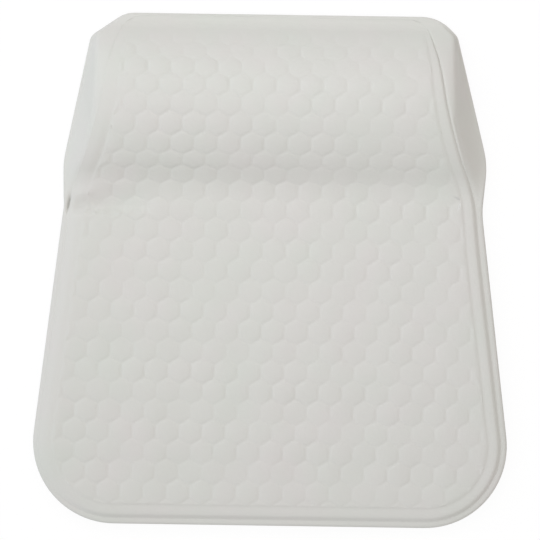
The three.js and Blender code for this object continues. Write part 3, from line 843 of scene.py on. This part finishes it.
def suction_cup():
    """One cup about the middle of its lip: a circle drawn through hollow, lip, dome, neck and plug."""
    first_radius, first_z = CUP_PROFILE[0]
    deselect_all()
    bpy.ops.mesh.primitive_circle_add(
        vertices=CUP_SIDES, radius=first_radius * MM, fill_type="NOTHING", location=(0, 0, 0),
    )
    cup = bpy.context.object
    bpy.ops.object.mode_set(mode="EDIT")
    bpy.ops.mesh.select_all(action="SELECT")
    bpy.ops.transform.translate(value=(0, 0, first_z * MM))
    for (radius, z), (next_radius, next_z) in zip(CUP_PROFILE, CUP_PROFILE[1:]):
        bpy.ops.mesh.extrude_edges_move(TRANSFORM_OT_translate={"value": (0, 0, (next_z - z) * MM)})
        share = next_radius / radius
        bpy.ops.transform.resize(value=(share, share, 1))
    bpy.ops.mesh.select_all(action="DESELECT")
    bpy.ops.mesh.select_mode(type="EDGE")
    bpy.ops.mesh.select_non_manifold()
    bpy.ops.mesh.edge_face_add()
    bpy.ops.mesh.select_all(action="SELECT")
    bpy.ops.mesh.normals_make_consistent(inside=False)
    bpy.ops.object.mode_set(mode="OBJECT")
    smooth(cup)
    from_axis = cup.data.attributes.new("from_axis", "FLOAT", "POINT")
    from_axis.data.foreach_set("value", [math.hypot(vert.co.x, vert.co.y) for vert in cup.data.vertices])
    return cup


cover = face_cover()
skin = border_skin()
backing = base_sheet()
mat_foam = foam_block("mat_foam", STEP_FOOT + FOAM_FROM_FOOT, CREASE_ALONG - FOAM_FROM_CREASE)
headrest_foam = foam_block("headrest_foam", CREASE_ALONG + FOAM_FROM_CREASE, BACK_ALONG - FOAM_FROM_BACK)

for piece, slot, nodes in (
    (cover, "embossed_vinyl", ("mat_face_sheet", "headrest_face_sheet")),
    (skin, "embossed_vinyl", ("left_gusset", "right_gusset")),
    (backing, "backing_vinyl", ("mat_base_sheet", "headrest_base_sheet")),
):
    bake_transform(piece)
    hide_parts(*nodes)
for piece, body, node in (
    (mat_foam, "mat", "mat_foam_pad"), (headrest_foam, "headrest", "headrest_foam_core"),
):
    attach(piece, body)
    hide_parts(node)
cup_master = suction_cup()
cups = []
for body, nodes in frame["record"]["behaviour"]["bodies"].items():
    for node in nodes:
        if "_cup_" not in node:
            continue
        node_low, node_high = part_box(node)
        cup = bpy.data.objects.new("suction_" + node, cup_master.data.copy())
        middle = (node_low + node_high) / 2
        cup.data.transform(Matrix.Translation((middle.x, middle.y, node_low.z)))
        bpy.context.scene.collection.objects.link(cup)
        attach(cup, body)
        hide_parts(node)
        cups.append(cup)
bpy.data.objects.remove(cup_master)


def linear(hex_colour):
    """An sRGB hex colour as linear values."""
    channels = [int(hex_colour[i:i + 2], 16) / 255 for i in (0, 2, 4)]
    return [c / 12.92 if c <= 0.04045 else ((c + 0.055) / 1.055) ** 2.4 for c in channels] + [1]


def add_node(tree, kind, inputs=None, **settings):
    """A node with its settings; each input is a value or another node's output."""
    node = tree.nodes.new(kind)
    for key, value in settings.items():
        setattr(node, key, value)
    for socket, value in (inputs or {}).items():
        if isinstance(value, bpy.types.NodeSocket):
            tree.links.new(value, node.inputs[socket])
        else:
            node.inputs[socket].default_value = value
    return node


def new_material(name):
    """A material with an empty node tree."""
    material = bpy.data.materials.new(name)
    material.use_nodes = True
    material.node_tree.nodes.clear()
    return material, material.node_tree


def clouded_pigment(tree, place, width, detail, tints):
    """Pigment that is unevenly spread, in clouds of some width: their strength, and the colour they give."""
    clouds = add_node(tree, "ShaderNodeTexNoise", {"Vector": place, "Scale": 1 / width, "Detail": detail})
    tint = add_node(tree, "ShaderNodeMix", {
        "Factor": clouds.outputs["Fac"], "A": linear(tints[0]), "B": linear(tints[1]),
    }, data_type="RGBA")
    return clouds.outputs["Fac"], tint.outputs["Result"]


def embossed_vinyl():
    """Soft PVC pressed between heated rollers: a satin skin with a fine pebble grain, in clouded pigment."""
    grain_width = 1.3 * MM  # the real grain of about 0.6 mm is drawn coarser, so that it shows
    grain_height = 0.03 * MM
    material, tree = new_material("embossed_soft_pvc")
    place = add_node(tree, "ShaderNodeTexCoord").outputs["Object"]
    _, tint = clouded_pigment(tree, place, 40 * MM, 3.0, ("d0d6cd", "d7d4d1"))
    grain = add_node(tree, "ShaderNodeTexVoronoi", {
        "Vector": place, "Scale": 1 / grain_width, "Randomness": 0.9,
    })
    pebble = add_node(tree, "ShaderNodeBump", {
        "Height": grain.outputs["Distance"], "Distance": grain_height, "Strength": 1.0,
    }, invert=True)
    polish = add_node(tree, "ShaderNodeMapRange", {
        "Value": grain.outputs["Distance"], "To Min": 0.5, "To Max": 0.62,
    })
    shader = add_node(tree, "ShaderNodeBsdfPrincipled", {
        "Base Color": tint, "Roughness": polish.outputs[0], "IOR": 1.53,
        "Normal": pebble.outputs["Normal"],
    })
    add_node(tree, "ShaderNodeOutputMaterial", {"Surface": shader.outputs["BSDF"]})
    return material


def backing_vinyl():
    """Soft PVC cooled on a cloth-covered roller: duller than the face, with the cloth's crossed ribs."""
    rib_width = 1.6 * MM
    rib_height = 0.06 * MM
    wave_length = 2 * math.pi / 20  # of the wave pattern at a scale of 1
    material, tree = new_material("cloth_grained_soft_pvc")
    place = add_node(tree, "ShaderNodeTexCoord").outputs["Object"]
    threads = [
        add_node(tree, "ShaderNodeTexWave", {
            "Vector": place, "Scale": wave_length / rib_width, "Distortion": 0.4, "Detail": 1.0,
        }, bands_direction=axis).outputs["Fac"]
        for axis in ("X", "Y")
    ]
    woven = add_node(tree, "ShaderNodeMath", {0: threads[0], 1: threads[1]}, operation="MAXIMUM")
    _, tint = clouded_pigment(tree, place, 35 * MM, 2.0, ("c8cac3", "d0d1ca"))
    ribs = add_node(tree, "ShaderNodeBump", {
        "Height": woven.outputs[0], "Distance": rib_height, "Strength": 1.0,
    })
    polish = add_node(tree, "ShaderNodeMapRange", {"Value": woven.outputs[0], "To Min": 0.68, "To Max": 0.56})
    shader = add_node(tree, "ShaderNodeBsdfPrincipled", {
        "Base Color": tint, "Roughness": polish.outputs[0], "IOR": 1.53,
        "Normal": ribs.outputs["Normal"],
    })
    add_node(tree, "ShaderNodeOutputMaterial", {"Surface": shader.outputs["BSDF"]})
    return material


def open_cell_foam():
    """Polyurethane foam sliced from a block: its cut cells leave pits, coloured darker as painted shade, in a
    dull, yellowing surface.
    """
    cell_width = 1.5 * MM
    pit_depth = 0.3 * MM
    material, tree = new_material("open_cell_pu_foam")
    place = add_node(tree, "ShaderNodeTexCoord").outputs["Object"]
    cells = add_node(tree, "ShaderNodeTexVoronoi", {"Vector": place, "Scale": 1 / cell_width})
    _, tint = clouded_pigment(tree, place, 25 * MM, 2.0, ("ebe6d6", "e2dac4"))
    # Painted shade: the middle of each cell, where the bump sinks a pit, is mixed towards a darker brown
    pore_shade = add_node(tree, "ShaderNodeMapRange", {
        "Value": cells.outputs["Distance"], "From Min": 0.1, "From Max": 0.35, "To Min": 0.6, "To Max": 0.0,
    })
    painted_pore_shade = add_node(tree, "ShaderNodeMix", {
        "Factor": pore_shade.outputs[0], "A": tint, "B": linear("b3a88f"),
    }, data_type="RGBA")
    pits = add_node(tree, "ShaderNodeBump", {
        "Height": cells.outputs["Distance"], "Distance": pit_depth, "Strength": 1.0,
    })
    shader = add_node(tree, "ShaderNodeBsdfPrincipled", {
        "Base Color": painted_pore_shade.outputs["Result"], "Roughness": 0.95, "IOR": 1.5,
        "Normal": pits.outputs["Normal"],
    })
    add_node(tree, "ShaderNodeOutputMaterial", {"Surface": shader.outputs["BSDF"]})
    return material


def cup_rubber():
    """Soft PVC from a turned steel mould: milky and glossy, with the lathe's rings about its axis."""
    ring_width = 0.8 * MM  # real turning marks of about 0.2 mm are drawn coarser, so that they show
    ring_height = 0.012 * MM
    material, tree = new_material("moulded_soft_pvc")
    place = add_node(tree, "ShaderNodeTexCoord").outputs["Object"]
    clouds, tint = clouded_pigment(tree, place, 9 * MM, 2.0, ("d9ddd9", "e2e4e0"))
    from_axis = add_node(tree, "ShaderNodeAttribute", attribute_name="from_axis")
    turns = add_node(tree, "ShaderNodeMath", {
        0: from_axis.outputs["Fac"], 1: 2 * math.pi / ring_width,
    }, operation="MULTIPLY")
    rings = add_node(tree, "ShaderNodeMath", {0: turns.outputs[0]}, operation="SINE")
    lathe = add_node(tree, "ShaderNodeBump", {
        "Height": rings.outputs[0], "Distance": ring_height, "Strength": 1.0,
    })
    polish = add_node(tree, "ShaderNodeMapRange", {"Value": clouds, "To Min": 0.22, "To Max": 0.36})
    shader = add_node(tree, "ShaderNodeBsdfPrincipled", {
        "Base Color": tint, "Roughness": polish.outputs[0], "IOR": 1.53,
        "Subsurface Weight": 0.15, "Subsurface Scale": 1 * MM, "Subsurface Radius": (1.0, 0.95, 0.9),
        "Normal": lathe.outputs["Normal"],
    })
    add_node(tree, "ShaderNodeOutputMaterial", {"Surface": shader.outputs["BSDF"]})
    return material


for material, pieces in (
    (embossed_vinyl(), (cover, skin)), (backing_vinyl(), (backing,)),
    (open_cell_foam(), (mat_foam, headrest_foam)), (cup_rubber(), cups),
):
    for piece in pieces:
        piece.data.materials.clear()
        piece.data.materials.append(material)

# Floor: its width in metres, and how much plain white is seen on it, which leaves the object's shadow
FLOOR_SIZE = 8
FLOOR_WHITE = 0.92
FLOOR_STRENGTH = 1.02
# Light from all round: colour and strength on the left, which is brighter and cooler, and on the right
FILL_LEFT = ("f4f7ff", 1.067)
FILL_RIGHT = ("ffede1", 0.461)
# Place and width in metres, and power, of the lights: behind on the left, and near over the headrest
SOFTBOXES = (
    ("back_light", (-0.87, 0.87, 1.03), 1.0, 2.8),
    ("near_light", (0.0, 0.2, 0.62), 0.4, 0.89),
)
# Camera straight above the middle, a little turned
CAMERA_LENS = 188.7
CAMERA_SENSOR = 36
CAMERA_PLACE = (-1.5, 0.14, FACE_TOP + 1967)
CAMERA_TURN = 0.87  # degrees


def seen_rays(tree):
    """1 on the rays by which the background itself is seen, also in a gloss or through something clear."""
    rays = add_node(tree, "ShaderNodeLightPath")
    seen = rays.outputs["Is Camera Ray"]
    for other in ("Is Glossy Ray", "Is Transmission Ray"):
        either = add_node(tree, "ShaderNodeMath", {0: seen, 1: rays.outputs[other]}, operation="MAXIMUM")
        seen = either.outputs[0]
    return seen


def white_floor():
    """Sheet of white paper under the object."""
    deselect_all()
    bpy.ops.mesh.primitive_plane_add(size=FLOOR_SIZE, location=(0, 0, 0))
    floor = bpy.context.object
    floor.name = "floor"
    material, tree = new_material("white_floor")
    share = add_node(tree, "ShaderNodeMath", {0: seen_rays(tree), 1: FLOOR_WHITE}, operation="MULTIPLY")
    paper = add_node(tree, "ShaderNodeBsdfDiffuse", {"Color": linear("f4f4f4")})
    white = add_node(tree, "ShaderNodeEmission", {"Strength": FLOOR_STRENGTH})
    mixed = add_node(tree, "ShaderNodeMixShader", {
        0: share.outputs[0], 1: paper.outputs[0], 2: white.outputs[0],
    })
    add_node(tree, "ShaderNodeOutputMaterial", {"Surface": mixed.outputs[0]})
    floor.data.materials.append(material)


def fill_light():
    """Soft light from all round that changes from left to right, before a white background."""
    world = bpy.data.worlds.new("studio")
    world.use_nodes = True
    bpy.context.scene.world = world
    tree = world.node_tree
    tree.nodes.clear()
    direction = add_node(tree, "ShaderNodeTexCoord").outputs["Generated"]
    sideways = add_node(tree, "ShaderNodeSeparateXYZ", {0: direction})
    to_right = add_node(tree, "ShaderNodeMapRange", {
        "Value": sideways.outputs["X"], "From Min": -1.0, "From Max": 1.0,
    })
    left, right = (
        [strength * channel for channel in linear(colour)] for colour, strength in (FILL_LEFT, FILL_RIGHT)
    )
    light = add_node(tree, "ShaderNodeMix", {
        "Factor": to_right.outputs[0], "A": left, "B": right,
    }, data_type="RGBA")
    fill = add_node(tree, "ShaderNodeBackground", {"Color": light.outputs["Result"], "Strength": 1.0})
    white = add_node(tree, "ShaderNodeBackground", {"Color": (1, 1, 1, 1), "Strength": 1.0})
    mixed = add_node(tree, "ShaderNodeMixShader", {
        0: seen_rays(tree), 1: fill.outputs[0], 2: white.outputs[0],
    })
    add_node(tree, "ShaderNodeOutputWorld", {"Surface": mixed.outputs[0]})


def softboxes():
    """Round soft lights that look at the middle of the object."""
    for name, place, size, energy in SOFTBOXES:
        lamp = bpy.data.lights.new(name, "AREA")
        lamp.shape = "DISK"
        lamp.size = size
        lamp.energy = energy
        softbox = bpy.data.objects.new(name, lamp)
        bpy.context.scene.collection.objects.link(softbox)
        softbox.location = place
        softbox.rotation_euler = (-Vector(place)).to_track_quat("-Z", "Y").to_euler()
        softbox.visible_camera = False


def camera():
    """The photograph's view, from straight above."""
    data = bpy.data.cameras.new("camera")
    data.lens = CAMERA_LENS
    data.sensor_width = CAMERA_SENSOR
    viewer = bpy.data.objects.new("camera", data)
    bpy.context.scene.collection.objects.link(viewer)
    viewer.location = [c * MM for c in CAMERA_PLACE]
    viewer.rotation_euler = (0, 0, math.radians(CAMERA_TURN))
    bpy.context.scene.camera = viewer


white_floor()
fill_light()
softboxes()
camera()
bpy.context.scene.view_settings.view_transform = "Standard"
